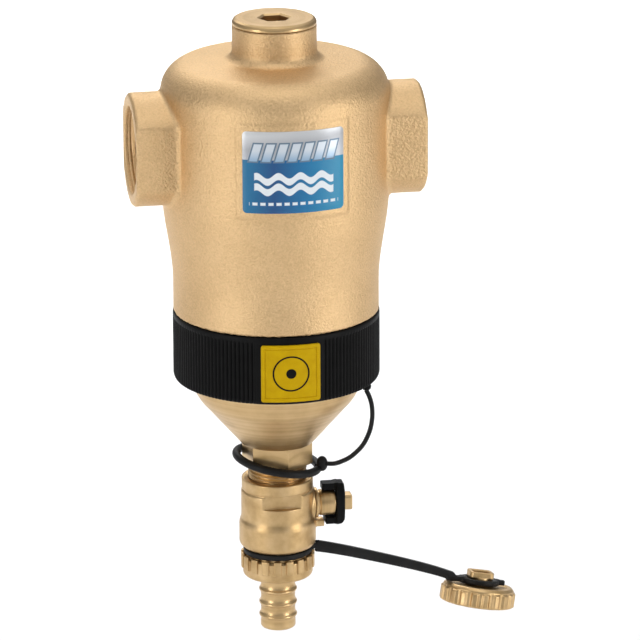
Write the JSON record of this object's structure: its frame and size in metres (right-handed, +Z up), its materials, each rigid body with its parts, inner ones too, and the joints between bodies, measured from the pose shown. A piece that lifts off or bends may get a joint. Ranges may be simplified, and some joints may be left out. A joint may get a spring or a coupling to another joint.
{
  "type": "magnetic system filter",
  "caption": "In-line brass dirt separator with female ports, slide-off magnet ring, mesh element, and a drain valve with hose tail, strap and cap.",
  "frame": {"origin": "where the axis through both pipe ports crosses the vertical body axis", "axes": "+X along the pipe towards the side of the drain valve key, +Y to the back away from the label, +Z up along the body"},
  "size_m": [0.1492, 0.0874, 0.2433],
  "materials": {
    "cast_brass": "sandblasted forged brass, pale gold",
    "turned_brass": "fine-turned brass",
    "label_foil": "printed foil, silver over blue",
    "seal_rubber": "black nitrile",
    "element_plastic": "dark glass-filled nylon",
    "mesh_steel": "woven wire mesh",
    "black_plastic": "fine satin moulding",
    "black_cord": "smooth flexible cord",
    "black_strap": "semi-matte flexible moulding",
    "plate_yellow": "raised yellow plate",
    "ball_chrome": "polished",
    "seat_white": "white fluoropolymer",
    "magnet_metal": "nickel-plated magnet"
  },
  "bodies": {
    "root": {"main_body": "cast_brass", "front_label": "label_foil", "element_frame": "element_plastic", "element_mesh": "mesh_steel", "element_core": "element_plastic", "dirt_chamber": "turned_brass", "chamber_seal": "seal_rubber", "valve_body": "cast_brass", "seat_upper": "seat_white", "seat_lower": "seat_white", "stem_gland": "turned_brass", "stem_seal": "seal_rubber", "tether_cord": "black_cord", "tether_bead": "black_cord", "tether_loop": "black_cord"},
    "magnet_ring": {"ring_shell": "black_plastic", "ring_liner": "black_plastic", "ring_plate": "plate_yellow", "tether_lug": "black_plastic", "magnet_1": "magnet_metal", "magnet_2": "magnet_metal", "magnet_3": "magnet_metal", "magnet_4": "magnet_metal", "magnet_5": "magnet_metal", "magnet_6": "magnet_metal"},
    "plug_lift": {"plug_seal": "seal_rubber"},
    "top_plug": {"top_plug": "turned_brass"},
    "valve_key": {"valve_ball": "ball_chrome", "valve_stem": "turned_brass", "valve_handle": "black_plastic"},
    "hose_tail": {"hose_tail": "turned_brass", "tail_gasket": "seal_rubber"},
    "union_nut": {"union_nut": "turned_brass"},
    "strap_collar": {"strap_collar": "black_strap"},
    "cap_strap": {"cap_strap": "black_strap"},
    "drain_cap": {"drain_cap": "turned_brass", "cap_gasket": "seal_rubber"}
  },
  "joints": [
    {"name": "ring_slide", "type": "slide", "parent": "root", "child": "magnet_ring", "axis": [0, 0, -1], "range_m": [0, 0.032], "deforming": ["tether_cord"]},
    {"name": "plug_rise", "type": "slide", "parent": "root", "child": "plug_lift", "axis": [0, 0, 1], "range_m": [0, 0.009]},
    {"name": "plug_turn", "type": "hinge", "parent": "plug_lift", "child": "top_plug", "pos_m": [0, 0, 0.0487], "axis": [0, 0, 1], "range_deg": [0, 1790]},
    {"name": "valve_turn", "type": "hinge", "parent": "root", "child": "valve_key", "pos_m": [0.02, 0, -0.1451], "axis": [1, 0, 0], "range_deg": [0, 90]},
    {"name": "tail_drop", "type": "slide", "parent": "root", "child": "hose_tail", "axis": [0, 0, -1], "range_m": [0, 0.012]},
    {"name": "nut_turn", "type": "hinge", "parent": "hose_tail", "child": "union_nut", "pos_m": [0, 0, -0.169], "axis": [0, 0, -1], "range_deg": [0, 2385]},
    {"name": "strap_swivel", "type": "hinge", "parent": "root", "child": "strap_collar", "pos_m": [0, 0, -0.1632], "axis": [0, 0, 1], "continuous": true},
    {"name": "strap_bend", "type": "hinge", "parent": "strap_collar", "child": "cap_strap", "pos_m": [0.0184, 0, -0.1636], "axis": [0, 1, 0], "range_deg": [-20, 45], "stiffness_Nm_per_rad": 0.06, "springref_deg": -17.19},
    {"name": "cap_spin", "type": "hinge", "parent": "cap_strap", "child": "drain_cap", "pos_m": [0.0796, 0, -0.1831], "axis": [0.1715, 0.1564, 0.9727], "continuous": true}
  ],
  "couplings": [
    {"joint": "plug_turn", "follows": "plug_rise", "rad_per_m": 3463.7},
    {"joint": "nut_turn", "follows": "tail_drop", "rad_per_m": 3463.7}
  ]
}
